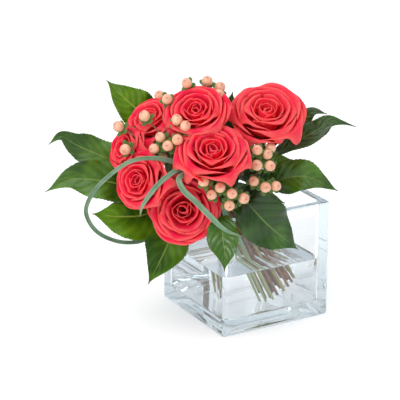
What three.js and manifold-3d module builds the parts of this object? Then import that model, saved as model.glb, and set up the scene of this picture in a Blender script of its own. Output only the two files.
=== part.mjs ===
// A hand-tied posy of seven coral roses with hypericum berries, glossy leaves and lily grass,
// leaning over the rim of a thick-walled square glass vase that is half full of water.
// Millimetres, +Z up. The origin is the middle of the vase's base; the vase's sides lie along X and Y.
import * as THREE from 'three';
import { mergeVertices } from 'three/addons/utils/BufferGeometryUtils.js';
import Module from 'manifold-3d';

const wasm = await Module();
wasm.setup();

// ---- driving dimensions -------------------------------------------------------------------
const gap = 0.3;                // left between neighbours that touch

const vaseSide = 100;
const vaseHeight = 98;
const wallThickness = 6.2;
const floorThickness = 11;
const outerRound = 3;           // upright outer edges
const innerRound = 7;           // upright inner edges
const rimRound = 1.5;           // rounding of the rim and of the base's edge
const waterLevel = 49;          // above the table

const waist = new THREE.Vector3(-24, -8, 98);        // where the stems cross
const stemFoot = new THREE.Vector3(20, -2, 21);      // middle of the cut stem ends
const footSpread = 1.55;        // the stems part by this factor between the crossing and the cut ends
const neckLength = 8;           // the stems run on together this far above the crossing,
const neckSpread = 1.1;         // where they have parted by this factor
const roseStemRadius = 2.3;
const leafStemRadius = 1.3;
const berryStemRadius = 1.1;
const twigRadius = 0.65;
const berryRadius = 4.8;
const leafThickness = 0.7;
const grassWidth = 4.6;
const grassThickness = 0.7;
const roseRing = 6.1;           // distances from the middle of the sheaf at the crossing
const outerRing = 11;
const grassRing = 13.8;
const calyxReach = 0.74;        // from a rose's widest ring back to its calyx, in rose radii
const calyxLength = 7;
const straightNeck = 10;        // straight length of a rose's stem under its calyx
const leafFold = 0.14;          // a leaf's or blade's edges stand this share of its half width above its keel
const grassFold = 0.1;

// how finely the pieces are cut
const rodSides = { rose: 8, thin: 6, twig: 4 };
const rodSteps = { rose: 11, leaf: 10, berry: 9, twig: 3 };
const turnSides = { bloom: 14, calyx: 10, berry: 6 };
const leafRows = 9;
const grassRowsPerPoint = 1.7;

// A rose is set by the middle of its widest ring of petals, the way it faces and its radius.
// ring and angle say where its stem runs in the sheaf.
const roses = [
  { name: 'front', at: [-62, -54, 157], faces: [-0.29, -0.52, 0.80], radius: 27.3,
    ring: roseRing, angle: 270 },
  { name: 'right', at: [-1, -33, 174], faces: [-0.22, -0.50, 0.84], radius: 26.8,
    ring: roseRing, angle: 330 },
  { name: 'low', at: [-76, -34, 108], faces: [-0.49, -0.83, 0.27], radius: 26.2,
    ring: roseRing, angle: 210 },
  { name: 'top', at: [-61, -28, 182], faces: [-0.45, -0.44, 0.78], radius: 24.5, ring: 0, angle: 0 },
  { name: 'left', at: [-107, -22, 133], faces: [-0.87, -0.34, 0.36], radius: 22.4,
    ring: roseRing, angle: 150 },
  { name: 'upper_left', at: [-84, 2, 172], faces: [-0.60, -0.20, 0.77], radius: 20.8,
    ring: roseRing, angle: 30 },
  { name: 'far_left', at: [-104, 5, 151], faces: [-0.90, -0.05, 0.43], radius: 19,
    ring: roseRing, angle: 90 },
];

// A berry sprig is a stem up to a fork, with a twig from the fork to each berry.
const sprigs = [
  { name: 'between_roses', angle: 203, rise: [-52, -17, 128], fork: [-82, -28, 158], berries: [
    [-93, -28, 168], [-99, -29, 160], [-91, -36, 163], [-85, -40, 168], [-81, -32, 181],
    [-77, -38, 177], [-90, -26, 150], [-99, -14, 182]] },
  { name: 'far_left', angle: 128, rise: [-64, -4, 126], fork: [-98, -4, 160], berries: [
    [-114, 1, 172], [-116, -14, 158]] },
  { name: 'top_left', angle: 78, rise: [-40, 8, 130], fork: [-62, 12, 168], berries: [
    [-72, 12, 188], [-80, -15, 193]] },
  { name: 'top', angle: 22, rise: [-24, -6, 138], fork: [-40, -8, 178], berries: [
    [-62, -14, 203], [-44, -14, 202], [-35, -18, 197], [-41, -27, 194]] },
  { name: 'right_upper', angle: 303, rise: [-18, -30, 116], fork: [-14, -46, 136], berries: [
    [-26, -60, 156], [-10, -53, 153], [-17, -60, 151], [-28, -63, 145], [-17, -64, 143]] },
  { name: 'right_lower', angle: 285, rise: [-22, -30, 110], fork: [-16, -44, 120], berries: [
    [-30, -62, 132], [-22, -66, 127], [-12, -65, 126]] },
  { name: 'front', angle: 245, rise: [-36, -32, 112], fork: [-46, -48, 122], berries: [
    [-74, -61, 139], [-63, -67, 134], [-55, -71, 129], [-68, -63, 128], [-44, -70, 123],
    [-56, -69, 119]] },
];

// A leafy stem runs from the sheaf through its way points; leaves spring from it.
const leafStems = [
  { name: 'top_left', angle: 105, way: [[-48, 14, 132], [-60, 28, 150]] },
  { name: 'left', angle: 150, way: [[-58, 8, 112], [-84, 12, 124]] },
  { name: 'front', angle: 222, way: [[-41, -26, 105], [-46, -38, 106]] },
  { name: 'right_front', angle: 267, way: [[-24, -26, 108], [-26, -38, 116]] },
  { name: 'right', angle: 322, way: [[-6, -22, 112], [2, -26, 120]] },
  { name: 'upper_right', angle: 10, way: [[4, -10, 122], [20, -12, 140]] },
  { name: 'back', angle: 52, way: [[-16, 12, 128], [-18, 14, 156]] },
];

// A leaf leaves its stem at a fraction of the stem's length and follows its spine to the tip.
// faces is the way its upper side looks, petiole the bare fraction of the spine.
const front = [-0.47, -0.82, 0.33];
const leaves = [
  { name: 'top_left', stem: 'top_left', from: 1, faces: [-0.2, -0.9, 0.4], width: 29, petiole: 0.1,
    spine: [[-72, 34, 164], [-86, 47, 180], [-94, 61, 192]] },
  { name: 'top_left_rear', stem: 'top_left', from: 0.9, faces: [0.2, -0.8, 0.5], width: 26, petiole: 0.15,
    spine: [[-52, 42, 153], [-59, 52, 169], [-64, 61, 181]] },
  { name: 'left_upper', stem: 'left', from: 1, faces: [-0.2, -0.7, 0.7], width: 28, petiole: 0.12,
    spine: [[-110, 24, 138], [-133, 38, 150], [-143, 44, 157], [-154, 44, 152]] },
  { name: 'left_lower', stem: 'left', from: 0.93, faces: [-0.3, -0.7, 0.6], width: 34, petiole: 0.15,
    spine: [[-100, 6, 120], [-126, 12, 127], [-147, 20, 129], [-167, 24, 121]] },
  { name: 'low_left', stem: 'left', from: 0.86, faces: [-0.5, -0.75, 0.4], width: 36, petiole: 0.3,
    spine: [[-78, -1, 102], [-96, -4, 98], [-118, -2, 100], [-136, 6, 103]] },
  { name: 'over_left_face', stem: 'left', from: 0.76, faces: [-0.7, -0.6, 0.2], width: 36, petiole: 0.25,
    spine: [[-55, 0, 102], [-64, -4, 91], [-77, -6, 67], [-93, -5, 39]] },
  { name: 'over_front_corner', stem: 'front', from: 1, faces: [-0.5, -0.8, 0.2], width: 25, petiole: 0.25,
    spine: [[-53, -53, 103], [-57, -61, 91], [-58, -66, 79], [-60, -69, 66]] },
  { name: 'over_right_face', stem: 'right_front', from: 0.92, faces: [-0.2, -0.95, 0.2],
    width: 39, petiole: 0.15,
    spine: [[-30, -52, 112], [-20, -59, 98], [-3, -60, 81], [13, -60, 67]] },
  { name: 'under_berries', stem: 'right_front', from: 1, faces: [0.1, -0.6, 0.8], width: 15, petiole: 0.15,
    spine: [[-21, -42, 116], [-12, -49, 113], [2, -57, 107]] },
  { name: 'right', stem: 'right', from: 0.93, faces: [-0.1, -0.7, 0.7], width: 29, petiole: 0.12,
    spine: [[10, -34, 118], [28, -44, 121], [50, -60, 110]] },
  { name: 'right_small', stem: 'right', from: 1, faces: [-0.3, -0.8, 0.4], width: 12, petiole: 0.15,
    spine: [[10, -28, 131], [22, -36, 134]] },
  { name: 'right_curled', stem: 'upper_right', from: 0.9, faces: [0.1, -0.6, 0.8], width: 19, petiole: 0.1,
    spine: [[34, -27, 146], [48, -32, 154], [57, -35, 160], [66, -40, 159], [75, -46, 156]] },
  { name: 'right_narrow', stem: 'upper_right', from: 1, faces: [-0.3, -0.8, 0.5], width: 15, petiole: 0.15,
    spine: [[30, -16, 148], [40, -18, 158], [50, -22, 166], [58, -30, 165]] },
  { name: 'top_tip', stem: 'upper_right', from: 1, faces: [-0.2, -0.9, 0.2], width: 16, petiole: 0.15,
    spine: [[22, -3, 155], [25, 1, 170], [29, 4, 186]] },
  { name: 'between_roses', stem: 'back', from: 0.95, faces: [-0.3, -0.9, 0.3], width: 12, petiole: 0.2,
    spine: [[-14, 5, 168], [-9, 6, 184]] },
  { name: 'back_left', stem: 'top_left', from: 0.8, faces: [-0.2, 0.3, 0.9], width: 28, petiole: 0.15,
    spine: [[-48, 38, 138], [-56, 62, 144], [-62, 82, 138]] },
  { name: 'back', stem: 'back', from: 0.8, faces: [0, 0.2, 1], width: 30, petiole: 0.15,
    spine: [[-14, 30, 140], [-12, 54, 150], [-10, 76, 146]] },
  { name: 'back_right', stem: 'back', from: 1, faces: [0.1, 0.2, 1], width: 26, petiole: 0.15,
    spine: [[0, 24, 160], [14, 40, 162], [28, 56, 154]] },
];

// A grass blade rises in the sheaf and arches over the flowers.
const grasses = [
  { name: 'long_loop', angle: 192, way: [[-51, -27, 120], [-64, -34, 137], [-82, -37, 148], [-104, -34, 155],
    [-119, -28, 153], [-132, -18, 141], [-142, -8, 125], [-146, -4, 111], [-140, -1, 96], [-128, 2, 84],
    [-106, 7, 73], [-84, 12, 71], [-66, 14, 86], [-54, 15, 101], [-46, 15, 102], [-40, 15, 95]] },
  { name: 'short', angle: 213, way: [[-52, -30, 121], [-65, -38, 138], [-83, -43, 146], [-102, -45, 139],
    [-112, -43, 128], [-115, -38, 118], [-114, -33, 109]] },
  { name: 'over_rim', angle: 234, way: [[-52, -34, 121], [-66, -43, 137], [-82, -48, 143], [-91, -53, 141],
    [-90, -58, 134], [-82, -62, 125], [-73, -66, 114], [-61, -71, 101], [-45, -71, 92]] },
];

// ---- finishes -----------------------------------------------------------------------------
const glassLook = { color: 0xdfe8ee, roughness: 0.03, metalness: 0, transparent: true, opacity: 0.35 };
const waterLook = { color: 0xc9dde6, roughness: 0.02, metalness: 0, transparent: true, opacity: 0.45 };
const petalLook = { color: 0xf0434a, roughness: 0.5, metalness: 0 };
const calyxLook = { color: 0x5c7a3a, roughness: 0.6, metalness: 0 };
const stemLook = { color: 0x6f7a3c, roughness: 0.55, metalness: 0 };
const leafLook = { color: 0x2f5d22, roughness: 0.35, metalness: 0 };
const grassLook = { color: 0x5f8a66, roughness: 0.45, metalness: 0 };
const berryLook = { color: 0xeeb592, roughness: 0.35, metalness: 0 };

// ---- solids -------------------------------------------------------------------------------
const vector = ([x, y, z]) => new THREE.Vector3(x, y, z);

// A closed geometry as a solid that can be joined and cut.
function solidOf(geometry) {
  const bare = geometry.clone();
  bare.deleteAttribute('normal');
  bare.deleteAttribute('uv');
  const merged = mergeVertices(bare, 1e-4);
  return new wasm.Manifold(new wasm.Mesh({
    numProp: 3,
    vertProperties: new Float32Array(merged.attributes.position.array),
    triVerts: new Uint32Array(merged.index.array),
  }));
}

function geometryOf(solid) {
  const { vertProperties, triVerts } = solid.getMesh();
  const geometry = new THREE.BufferGeometry();
  geometry.setAttribute('position', new THREE.BufferAttribute(vertProperties, 3));
  geometry.setIndex(new THREE.BufferAttribute(triVerts, 1));
  geometry.computeVertexNormals();
  return geometry;
}

const largest = (solid) => solid.decompose().sort((a, b) => b.volume() - a.volume())[0];

// A square prism with rounded upright edges, from z = low to z = high.
function squarePrism(side, round, low, high, edgeRound = 0) {
  const h = side / 2 - edgeRound;
  const r = round - edgeRound;
  const outline = new THREE.Shape();
  outline.moveTo(-h + r, -h).lineTo(h - r, -h).absarc(h - r, -h + r, r, -Math.PI / 2, 0);
  outline.lineTo(h, h - r).absarc(h - r, h - r, r, 0, Math.PI / 2);
  outline.lineTo(-h + r, h).absarc(-h + r, h - r, r, Math.PI / 2, Math.PI);
  outline.lineTo(-h, -h + r).absarc(-h + r, -h + r, r, Math.PI, 1.5 * Math.PI);
  const geometry = new THREE.ExtrudeGeometry(outline, {
    depth: high - low - 2 * edgeRound,
    bevelEnabled: edgeRound > 0,
    bevelSize: edgeRound,
    bevelThickness: edgeRound,
    bevelSegments: 2,
    curveSegments: 3,
  });
  return solidOf(geometry.translate(0, 0, low + edgeRound));
}

function smoothCurve(points) {
  return new THREE.CatmullRomCurve3(points, false, 'centripetal');
}

// A round rod along a curve.
function rod(curve, radius, steps, sides) {
  const section = new THREE.Shape().absarc(0, 0, radius, 0, 2 * Math.PI);
  return solidOf(new THREE.ExtrudeGeometry(section, { steps, extrudePath: curve, curveSegments: sides / 2 }));
}

// A turned solid: its profile is spun round the line through at along axis.
function turned(profile, at, axis, sides) {
  const points = profile.map(([r, h]) => new THREE.Vector2(r, h));
  const latheAxis = new THREE.Vector3(0, 1, 0);
  const turn = new THREE.Quaternion().setFromUnitVectors(latheAxis, axis.clone().normalize());
  const geometry = new THREE.LatheGeometry(points, sides).applyQuaternion(turn);
  return solidOf(geometry.translate(at.x, at.y, at.z));
}

// A thin strip along a spine: at each of its rows the section has two edges and a keel between them.
function strip(points, faces, halfWidth, fold, thickness, rows) {
  const curve = smoothCurve(points);
  const up = vector(faces);
  const positions = [];
  for (let row = 0; row <= rows; row++) {
    const s = row / rows;
    const at = curve.getPointAt(s);
    const along = curve.getTangentAt(s);
    const side = new THREE.Vector3().crossVectors(along, up).normalize();
    const normal = new THREE.Vector3().crossVectors(side, along);
    const w = halfWidth(s);
    const t = thickness / 2;
    const lift = fold * w;
    const section = [[-w, lift + t], [0, t], [w, lift + t], [w, lift - t], [0, -t], [-w, lift - t]];
    for (const [across, height] of section) {
      positions.push(...at.clone().addScaledVector(side, across).addScaledVector(normal, height));
    }
  }
  return solidOf(loft(positions, 6));
}

// Joins rows of equal sections, given one after another, into a closed skin with flat ends.
function loft(positions, sectionSize) {
  const rowCount = positions.length / 3 / sectionSize;
  const faces = [];
  for (let row = 0; row < rowCount - 1; row++) {
    for (let k = 0; k < sectionSize; k++) {
      const a = row * sectionSize + k;
      const b = row * sectionSize + (k + 1) % sectionSize;
      faces.push(a, b, b + sectionSize, a, b + sectionSize, a + sectionSize);
    }
  }
  const last = (rowCount - 1) * sectionSize;
  const cap = [[0, 1, 5], [1, 4, 5], [1, 2, 4], [2, 3, 4]];
  for (const [a, b, c] of cap) {
    faces.push(a, c, b, last + a, last + b, last + c);
  }
  const geometry = new THREE.BufferGeometry();
  geometry.setAttribute('position', new THREE.Float32BufferAttribute(positions, 3));
  geometry.setIndex(faces);
  return geometry;
}

// ---- the posy's layout --------------------------------------------------------------------
const sheafAxis = new THREE.Vector3().subVectors(waist, stemFoot).normalize();
const sheafRight = new THREE.Vector3().crossVectors(new THREE.Vector3(0, 1, 0), sheafAxis).normalize();
const sheafBack = new THREE.Vector3().crossVectors(sheafAxis, sheafRight);

// The point of the sheaf at an angle and distance from its middle; the stems keep that
// pattern between the crossing and the cut ends, only wider, so they never meet there.
function sheafPoint(centre, ring, angle, spread) {
  const a = THREE.MathUtils.degToRad(angle);
  return centre.clone()
    .addScaledVector(sheafRight, spread * ring * Math.cos(a))
    .addScaledVector(sheafBack, spread * ring * Math.sin(a));
}

// The part of a stem inside the vase: its cut end, its way through the water, and the crossing.
function stemFootPoints(ring, angle) {
  const end = sheafPoint(stemFoot, ring, angle, footSpread);
  const crossing = sheafPoint(waist, ring, angle, 1);
  const neck = waist.clone().addScaledVector(sheafAxis, neckLength);
  return [end, end.clone().lerp(crossing, 0.5), crossing, sheafPoint(neck, ring, angle, neckSpread)];
}

// ---- pieces -------------------------------------------------------------------------------
function vase() {
  const outside = squarePrism(vaseSide, outerRound, 0, vaseHeight, rimRound);
  const inside = squarePrism(vaseSide - 2 * wallThickness, innerRound, floorThickness, vaseHeight + 1);
  return outside.subtract(inside);
}

// The water, with a straight channel for each stem that stands in it.
function water() {
  const side = vaseSide - 2 * (wallThickness + gap);
  let body = squarePrism(side, innerRound - gap, floorThickness + gap, waterLevel);
  for (const { ring, angle, radius, sides } of stemsInWater()) {
    const [end, above] = stemFootPoints(ring, angle);
    const start = end.clone().addScaledVector(sheafAxis, -gap);
    body = body.subtract(rod(new THREE.LineCurve3(start, above), radius + 2 * gap, 1, sides));
  }
  return body;
}

// A rose's stem leaves the calyx straight, then bends into the sheaf.
function roseStemCurve(rose) {
  const axis = vector(rose.faces).normalize();
  const top = vector(rose.at).addScaledVector(axis, -calyxReach * rose.radius - calyxLength - gap);
  const below = top.clone().addScaledVector(axis, -straightNeck);
  return smoothCurve([...stemFootPoints(rose.ring, rose.angle), below, top]);
}

// The open flower: a deep cup below, a rolled rim, and a spiral heart standing in the middle.
function bloom(rose, grow) {
  const r = rose.radius;
  const profile = [
    [0, -0.74], [0.24, -0.72], [0.72, -0.38], [1, 0], [0.9, 0.12], [0.7, 0.2],
    [0.46, 0.3], [0.22, 0.28], [0.1, 0.3], [0, 0.3],
  ].map(([x, h]) => [x === 0 ? 0 : x * r + grow, h * r + Math.sign(h) * grow]);
  return turned(profile, vector(rose.at), vector(rose.faces), turnSides.bloom);
}

const thinStem = (angle, radius) => ({ ring: outerRing, angle, radius, sides: rodSides.thin });

function stemsInWater() {
  return [
    ...roses.map(({ ring, angle }) => ({ ring, angle, radius: roseStemRadius, sides: rodSides.rose })),
    ...leafStems.map(({ angle }) => thinStem(angle, leafStemRadius)),
    ...sprigs.map(({ angle }) => thinStem(angle, berryStemRadius)),
  ];
}

// The green hip under the flower with its ring of sepals.
function calyx(rose, grow) {
  const axis = vector(rose.faces).normalize();
  const base = vector(rose.at).addScaledVector(axis, -calyxReach * rose.radius - calyxLength);
  const profile = [
    [0, 0], [2.6, 0], [4.3, 2], [4.4, 4.4], [3.6, 5.6], [8.5, 6.4], [8.5, 7], [0, 7],
  ].map(([x, h]) => [x === 0 ? 0 : x + grow, h === 0 ? -grow : h === calyxLength ? h + grow : h]);
  return turned(profile, base, axis, turnSides.calyx);
}

function berry(at, axis, grow) {
  const r = berryRadius + grow;
  const profile = [[0, -1], [0.85, -0.5], [0.92, 0.4], [0.2, 1.02], [0, 1.08]];
  return turned(profile.map(([x, h]) => [x * r, h * r]), at, axis, turnSides.berry);
}

// A berry points away from its fork and a little to the front.
function berryAxis(sprig, at) {
  const away = at.clone().sub(vector(sprig.fork)).normalize();
  return away.addScaledVector(vector(front), 0.8).normalize();
}

function sprigStem(sprig, grow) {
  const fork = vector(sprig.fork);
  const foot = stemFootPoints(outerRing, sprig.angle);
  const curve = smoothCurve([...foot, vector(sprig.rise), fork]);
  return rod(curve, berryStemRadius + grow, rodSteps.berry, rodSides.thin);
}

function sprigBody(sprig, grow) {
  let body = sprigStem(sprig, grow);
  const fork = vector(sprig.fork);
  for (const place of sprig.berries) {
    const at = vector(place);
    const axis = berryAxis(sprig, at);
    const knee = at.clone().addScaledVector(axis, -0.45 * at.distanceTo(fork));
    const twig = new THREE.QuadraticBezierCurve3(fork, knee, at);
    body = body.add(rod(twig, twigRadius + grow, rodSteps.twig, rodSides.twig)).add(berry(at, axis, grow));
  }
  return body;
}

function leafStemCurve(stem) {
  return smoothCurve([...stemFootPoints(outerRing, stem.angle), ...stem.way.map(vector)]);
}

// Half the width of a leaf along its spine: a bare petiole, then a blade that is broadest
// below its middle and narrows to a long drip tip.
function leafHalfWidth(leaf, s) {
  const t = Math.max(0, (s - leaf.petiole) / (1 - leaf.petiole));
  const outline = Math.sin(Math.PI * t ** 0.75) ** (0.75 + 0.7 * t);
  return Math.max(leaf.width / 2 * outline, 0.8 - 0.4 * t);
}

function leafBlade(leaf, grow) {
  const stem = leafStems.find((one) => one.name === leaf.stem);
  const root = leafStemCurve(stem).getPointAt(leaf.from);
  const points = [root, ...leaf.spine.map(vector)];
  const halfWidth = (s) => leafHalfWidth(leaf, s) + grow;
  return strip(points, leaf.faces, halfWidth, leafFold, leafThickness + 2 * grow, leafRows);
}

function grassBlade(grass, grow) {
  const points = [...stemFootPoints(grassRing, grass.angle), ...grass.way.map(vector)];
  const halfWidth = (s) => grassWidth / 2 * Math.min(1, 0.35 + 6 * (1 - s)) + grow;
  const rows = Math.floor(grassRowsPerPoint * points.length);
  return strip(points, front, halfWidth, grassFold, grassThickness + 2 * grow, rows);
}

// ---- assembly -----------------------------------------------------------------------------
const posy = new THREE.Group();
const placed = [];

// Adds a piece. It gives way to the ones placed before it, which keep the gap all round.
function place(name, build, look) {
  let solid = build(0);
  for (const other of placed) {
    const grown = other.build(gap);
    if (!solid.intersect(grown).isEmpty()) {
      solid = largest(solid.subtract(grown));
    }
  }
  placed.push({ name, build });
  const mesh = new THREE.Mesh(geometryOf(solid), new THREE.MeshStandardMaterial(look));
  mesh.name = name;
  posy.add(mesh);
}

place('vase', () => vase(), glassLook);
for (const rose of roses) {
  const stemRod = (grow) => rod(roseStemCurve(rose), roseStemRadius + grow, rodSteps.rose, rodSides.rose);
  place(`rose_stem_${rose.name}`, stemRod, stemLook);
  place(`rose_calyx_${rose.name}`, (grow) => calyx(rose, grow), calyxLook);
}
for (const stem of leafStems) {
  const stemRod = (grow) => rod(leafStemCurve(stem), leafStemRadius + grow, rodSteps.leaf, rodSides.thin);
  place(`leaf_stem_${stem.name}`, stemRod, stemLook);
}
for (const sprig of sprigs) {
  place(`berry_sprig_${sprig.name}`, (grow) => sprigBody(sprig, grow), berryLook);
}
for (const rose of roses) {
  place(`rose_bloom_${rose.name}`, (grow) => bloom(rose, grow), petalLook);
}
for (const leaf of leaves) {
  place(`leaf_${leaf.name}`, (grow) => leafBlade(leaf, grow), leafLook);
}
for (const grass of grasses) {
  place(`grass_${grass.name}`, (grow) => grassBlade(grass, grow), grassLook);
}
place('water', () => water(), waterLook);

export default posy;
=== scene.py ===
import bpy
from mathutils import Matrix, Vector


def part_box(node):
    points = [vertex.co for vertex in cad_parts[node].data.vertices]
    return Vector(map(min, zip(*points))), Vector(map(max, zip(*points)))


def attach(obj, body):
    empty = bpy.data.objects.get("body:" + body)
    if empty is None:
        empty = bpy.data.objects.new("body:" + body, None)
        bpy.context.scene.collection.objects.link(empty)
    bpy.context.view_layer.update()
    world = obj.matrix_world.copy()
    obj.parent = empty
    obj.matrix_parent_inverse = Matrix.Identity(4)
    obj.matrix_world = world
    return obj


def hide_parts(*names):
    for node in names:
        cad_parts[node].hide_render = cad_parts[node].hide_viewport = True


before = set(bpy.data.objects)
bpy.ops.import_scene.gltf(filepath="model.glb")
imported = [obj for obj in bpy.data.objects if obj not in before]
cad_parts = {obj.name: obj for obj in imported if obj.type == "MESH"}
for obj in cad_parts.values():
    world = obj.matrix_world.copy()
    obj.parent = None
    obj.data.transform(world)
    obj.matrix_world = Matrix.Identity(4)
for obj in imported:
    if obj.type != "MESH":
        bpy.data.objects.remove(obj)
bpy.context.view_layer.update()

import bpy
import numpy as np
from mathutils import Vector

mm = 0.001   # lengths below are in millimetres, the mesh is in metres
print("frame loaded:", len(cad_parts), "nodes")


# A vector divided by its own length.
def unit(v):
    v = np.asarray(v, float)
    return v / np.maximum(np.linalg.norm(v, axis=-1, keepdims=True), 1e-12)


# 0 below 0, 1 above 1, and an S-shaped rise between.
def ease(t):
    t = np.clip(t, 0, 1)
    return t * t * (3 - 2 * t)


# The smooth line through given points: a Catmull-Rom spline with knots spaced by the square root
# of the distances, sampled at shares of its length.
def smoothLine(points, shares):
    p = np.asarray(points, float)
    p = np.vstack([2 * p[0] - p[1], p, 2 * p[-1] - p[-2]])
    gap = np.sqrt(np.linalg.norm(np.diff(p, axis=0), axis=1))[:, None]
    t = np.linspace(0, 1, 24, endpoint=False)[:, None]
    runs = []
    for k in range(1, len(p) - 2):
        g0, g1, g2 = gap[k - 1], gap[k], gap[k + 1]
        m1 = (p[k + 1] - p[k]) - g1 * ((p[k + 1] - p[k - 1]) / (g0 + g1) - (p[k] - p[k - 1]) / g0)
        m2 = (p[k + 1] - p[k]) - g1 * ((p[k + 2] - p[k]) / (g1 + g2) - (p[k + 2] - p[k + 1]) / g2)
        c2 = 3 * (p[k + 1] - p[k]) - 2 * m1 - m2
        c3 = 2 * (p[k] - p[k + 1]) + m1 + m2
        runs.append(p[k] + m1 * t + c2 * t ** 2 + c3 * t ** 3)
    line = np.vstack(runs + [p[-2:-1]])
    length = np.concatenate([[0], np.cumsum(np.linalg.norm(np.diff(line, axis=0), axis=1))])
    want = np.asarray(shares) * length[-1]
    return np.stack([np.interp(want, length, line[:, i]) for i in range(3)], axis=1)


# The direction of a sampled line at each of its points.
def directions(line):
    return unit(np.gradient(line, axis=0))


# A closed thin skin round a grid of points: the grid is its upper side, the lower side lies a
# thickness below it, and a band joins the two round the border.
def skin(grid, thickness, uv, tone=0.0, material=0):
    rows, cols = grid.shape[:2]
    along, across = np.gradient(grid, axis=0), np.gradient(grid, axis=1)
    normal = unit(np.cross(along, across))
    rim = np.ones((rows, cols))
    rim[[0, -1], :] = 0.35
    rim[:, [0, -1]] = 0.35
    half = (0.5 * np.broadcast_to(thickness, (rows, cols)) * rim)[..., None]
    points = np.concatenate([(grid + normal * half).reshape(-1, 3), (grid - normal * half).reshape(-1, 3)])
    index = np.arange(rows * cols).reshape(rows, cols)
    top = np.stack([index[:-1, :-1], index[1:, :-1], index[1:, 1:], index[:-1, 1:]], -1).reshape(-1, 4)
    below = top[:, ::-1] + rows * cols
    loop = np.concatenate([index[0, :-1], index[:-1, -1], index[-1, :0:-1], index[:0:-1, 0]])
    after = np.roll(loop, -1)
    band = np.stack([loop, after, after + rows * cols, loop + rows * cols], -1)
    flatUv = np.asarray(uv, float).reshape(-1, 2)
    return {
        "points": points, "quads": np.vstack([top, below, band]), "tris": np.zeros((0, 3), int),
        "uv": np.vstack([flatUv, flatUv]), "tone": np.full(len(points), float(tone)), "material": material,
    }


# A closed tube of rings with a point at each end. Rings run along the tube, and round it
# counter-clockwise as seen from its far end.
def tubeSkin(rings, tone=0.0, material=0, poles=None):
    rows, cols = rings.shape[:2]
    ends = np.stack([rings[0].mean(0), rings[-1].mean(0)]) if poles is None else np.asarray(poles, float)
    points = np.concatenate([rings.reshape(-1, 3), ends])
    index = np.arange(rows * cols).reshape(rows, cols)
    turn = np.roll(index, -1, axis=1)
    quads = np.stack([index[:-1], turn[:-1], turn[1:], index[1:]], -1).reshape(-1, 4)
    first, last = rows * cols, rows * cols + 1
    tris = np.vstack([
        np.stack([np.full(cols, first), turn[0], index[0]], -1),
        np.stack([np.full(cols, last), index[-1], turn[-1]], -1),
    ])
    v, u = np.meshgrid(np.linspace(0, 1, rows), np.linspace(0, 1, cols), indexing="ij")
    flatUv = np.vstack([np.stack([u, v], -1).reshape(-1, 2), [[0.5, 0]], [[0.5, 1]]])
    return {
        "points": points, "quads": quads, "tris": tris, "uv": flatUv,
        "tone": np.full(len(points), float(tone)), "material": material,
    }


# Round rings of given radii along a line, each square to the line.
def roundRings(line, radii, sides=14):
    along = directions(line)
    reference = np.eye(3)[np.argmin(np.abs(along).max(axis=0))]
    side = unit(np.cross(reference, along))
    other = np.cross(along, side)
    a = np.linspace(0, 2 * np.pi, sides, endpoint=False)
    radii = np.broadcast_to(np.asarray(radii, float), (len(line),))[:, None, None]
    circle = np.cos(a)[None, :, None] * side[:, None] + np.sin(a)[None, :, None] * other[:, None]
    return line[:, None] + radii * circle


# A turned surface: a profile of radius and height spun round an axis from a foot point.
def turned(foot, axis, profile, sides, material=0, tone=0.0, lobes=None):
    sideways, upwards, axis = axesOf(axis)
    profile = np.asarray(profile, float)
    a = np.linspace(0, 2 * np.pi, sides, endpoint=False)
    radius = profile[1:-1, 0][:, None] * (np.ones((1, sides)) if lobes is None else lobes(a)[None])
    rings = (np.asarray(foot, float) + radius[..., None] * (
        np.cos(a)[None, :, None] * sideways + np.sin(a)[None, :, None] * upwards)
        + profile[1:-1, 1][:, None, None] * axis)
    poles = [foot + profile[0, 1] * axis, foot + profile[-1, 1] * axis]
    return tubeSkin(rings, tone=tone, material=material, poles=poles)


# Two directions square to an axis, and the axis itself.
def axesOf(axis):
    axis = unit(axis)
    sideways = unit(np.cross((0, 0, 1), axis)) if abs(axis[2]) < 0.99 else np.array((1.0, 0, 0))
    return sideways, np.cross(axis, sideways), axis


# One mesh object from skins given in millimetres, riding on the part's body, in place of CAD nodes.
def makePiece(name, skins, materials, nodes):
    points = np.vstack([s["points"] for s in skins]) * mm
    starts = np.cumsum([0] + [len(s["points"]) for s in skins[:-1]])
    quads = np.vstack([s["quads"] + k for s, k in zip(skins, starts)])
    tris = np.vstack([s["tris"] + k for s, k in zip(skins, starts)])
    quadSkin = np.concatenate([np.full(len(s["quads"]), s["material"]) for s in skins])
    triSkin = np.concatenate([np.full(len(s["tris"]), s["material"]) for s in skins])
    mesh = bpy.data.meshes.new(name)
    mesh.from_pydata(points.tolist(), [], quads.tolist() + tris.tolist())
    corner = np.zeros(len(mesh.loops), np.int32)
    mesh.loops.foreach_get("vertex_index", corner)
    uvLayer = mesh.uv_layers.new(name="growth")
    uvLayer.data.foreach_set("uv", np.vstack([s["uv"] for s in skins])[corner].astype(np.float32).ravel())
    tone = mesh.attributes.new("tone", "FLOAT", "POINT")
    tone.data.foreach_set("value", np.concatenate([s["tone"] for s in skins]).astype(np.float32))
    for material in materials:
        mesh.materials.append(material)
    mesh.polygons.foreach_set("material_index", np.concatenate([quadSkin, triSkin]).astype(np.int32))
    mesh.polygons.foreach_set("use_smooth", np.ones(len(mesh.polygons), bool))
    mesh.update()
    piece = bpy.data.objects.new(name, mesh)
    bpy.context.scene.collection.objects.link(piece)
    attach(piece, "root")
    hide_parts(*nodes)
    return piece


# Adds a node to a material and sets its inputs: a value stays a value, a socket is linked.
def addNode(tree, kind, inputs=None, **settings):
    node = tree.nodes.new("ShaderNode" + kind)
    for key, value in settings.items():
        setattr(node, key, value)
    for key, value in (inputs or {}).items():
        if isinstance(value, bpy.types.NodeSocket):
            tree.links.new(value, node.inputs[key])
        else:
            node.inputs[key].default_value = value
    return node


def maths(tree, operation, a, b=0.0):
    return addNode(tree, "Math", {0: a, 1: b}, operation=operation).outputs[0]


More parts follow.
